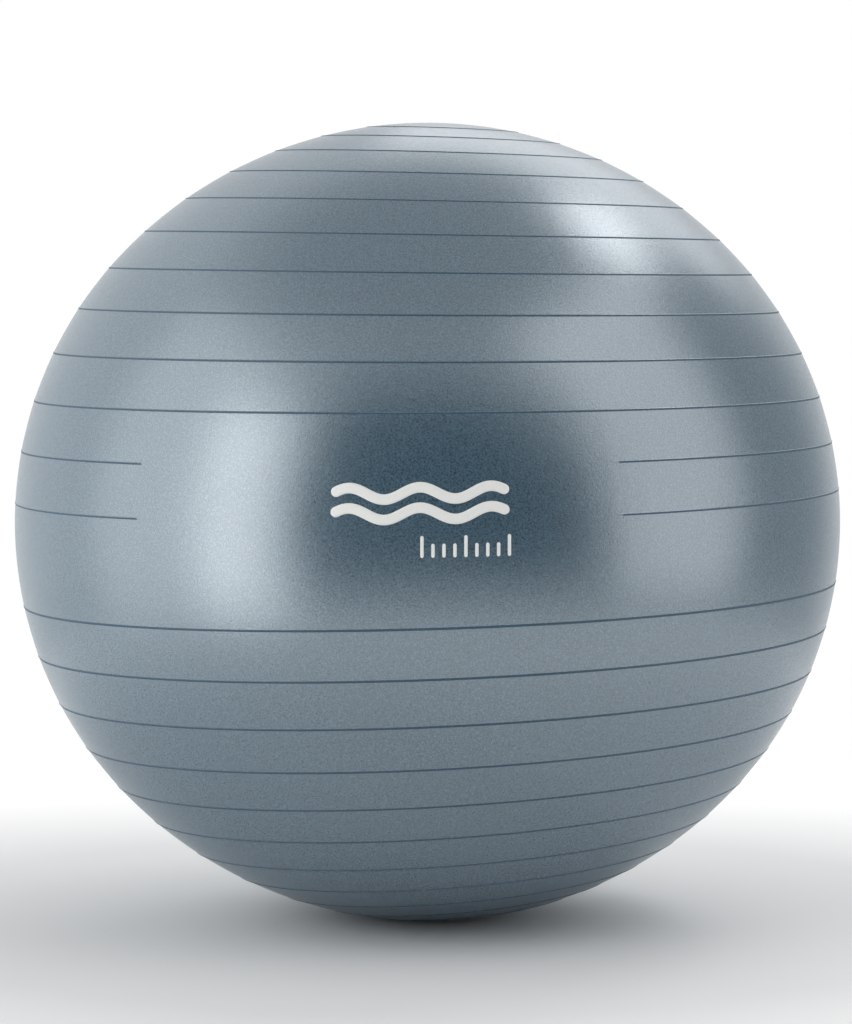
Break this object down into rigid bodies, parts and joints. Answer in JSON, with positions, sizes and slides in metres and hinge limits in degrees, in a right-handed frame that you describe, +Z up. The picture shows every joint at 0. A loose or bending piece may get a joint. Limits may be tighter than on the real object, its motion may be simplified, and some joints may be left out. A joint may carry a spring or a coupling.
{
  "type": "exercise ball",
  "caption": "Inflatable exercise ball for physiotherapy: hollow soft skin with anti-slip ribs and a smooth front panel, and a valve with a pull-out plug at the back.",
  "frame": {"origin": "middle of the flat round patch that the ball rests on", "axes": "+Z up through the ball's short axis, -Y towards the smooth panel at the front, +Y towards the valve at the back"},
  "size_m": [0.8499, 0.8505, 0.8198],
  "materials": {
    "skin": "satin soft PVC, slate blue grey",
    "seat": "satin soft PVC, slate blue grey",
    "plug": "satin, off-white",
    "print": "thin matt screen-print ink, off-white"
  },
  "bodies": {
    "ball": {"ball_shell": "skin", "valve_seat": "seat"},
    "plug": {"valve_plug": "plug"}
  },
  "joints": [
    {"name": "plug_pull", "type": "slide", "parent": "ball", "child": "plug", "axis": [0, 1, 0], "range_m": [0, 0.045]}
  ]
}
